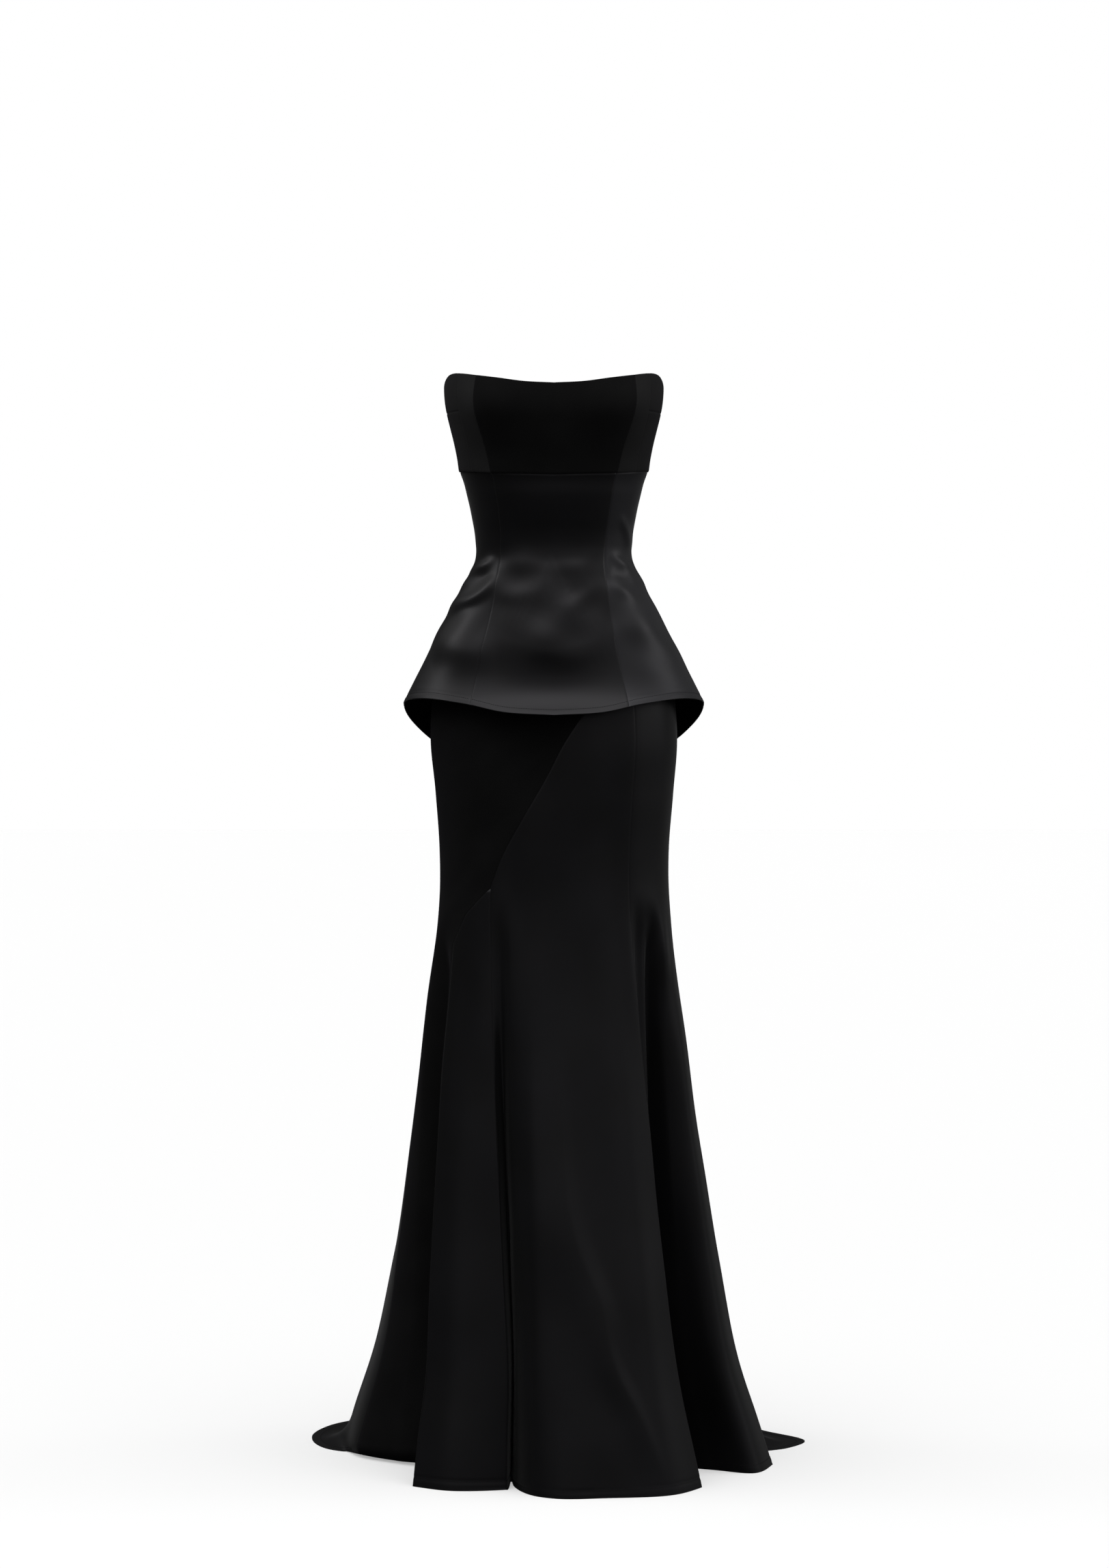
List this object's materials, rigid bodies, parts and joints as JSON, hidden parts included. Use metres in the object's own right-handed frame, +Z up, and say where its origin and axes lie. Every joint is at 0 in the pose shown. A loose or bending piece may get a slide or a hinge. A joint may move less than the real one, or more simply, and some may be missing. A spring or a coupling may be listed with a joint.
{
  "type": "bustier maxi dress",
  "caption": "Strapless black maxi dress with princess seams, a flared peplum, a diagonal front seam, deep front flutes and a short train.",
  "frame": {"origin": "centre of the waist, at its narrowest height, where the wearer holds the dress", "axes": "+Z up along the dress, -Y towards the front, +X to the right as seen from the front"},
  "size_m": [0.6733, 0.6571, 1.4385],
  "materials": {
    "crepe_matt": "matt crepe side of satin-back crepe",
    "crepe_satin": "soft satin side of satin-back crepe",
    "zip_metal": "black enamel"
  },
  "bodies": {
    "dress": {"bust_front_centre": "crepe_matt", "bust_front_side_left": "crepe_matt", "bust_front_side_right": "crepe_matt", "bust_side_upper_left": "crepe_matt", "bust_side_upper_right": "crepe_matt", "bust_side_lower_left": "crepe_matt", "bust_side_lower_right": "crepe_matt", "bust_back_side_left": "crepe_matt", "bust_back_side_right": "crepe_matt", "bust_back_centre_left": "crepe_matt", "bust_back_centre_right": "crepe_matt", "bodice_front_centre": "crepe_satin", "bodice_front_side_left": "crepe_satin", "bodice_front_side_right": "crepe_satin", "bodice_back_side_left": "crepe_satin", "bodice_back_side_right": "crepe_satin", "bodice_back_centre_left": "crepe_satin", "bodice_back_centre_right": "crepe_satin", "skirt_side_front_left": "crepe_matt", "skirt_godet_left": "crepe_satin", "skirt_front_centre": "crepe_satin", "skirt_side_front_right": "crepe_satin", "skirt_back_side_right": "crepe_satin", "skirt_back_centre_right": "crepe_satin", "skirt_back_centre_left": "crepe_satin", "skirt_back_side_left": "crepe_satin", "zip_slider": "zip_metal"},
    "pull": {"zip_pull": "zip_metal"}
  },
  "joints": [
    {"name": "pull_swing", "type": "hinge", "parent": "dress", "child": "pull", "pos_m": [0, 0.1014, 0.173], "axis": [1, 0, 0], "range_deg": [0, 170]}
  ]
}
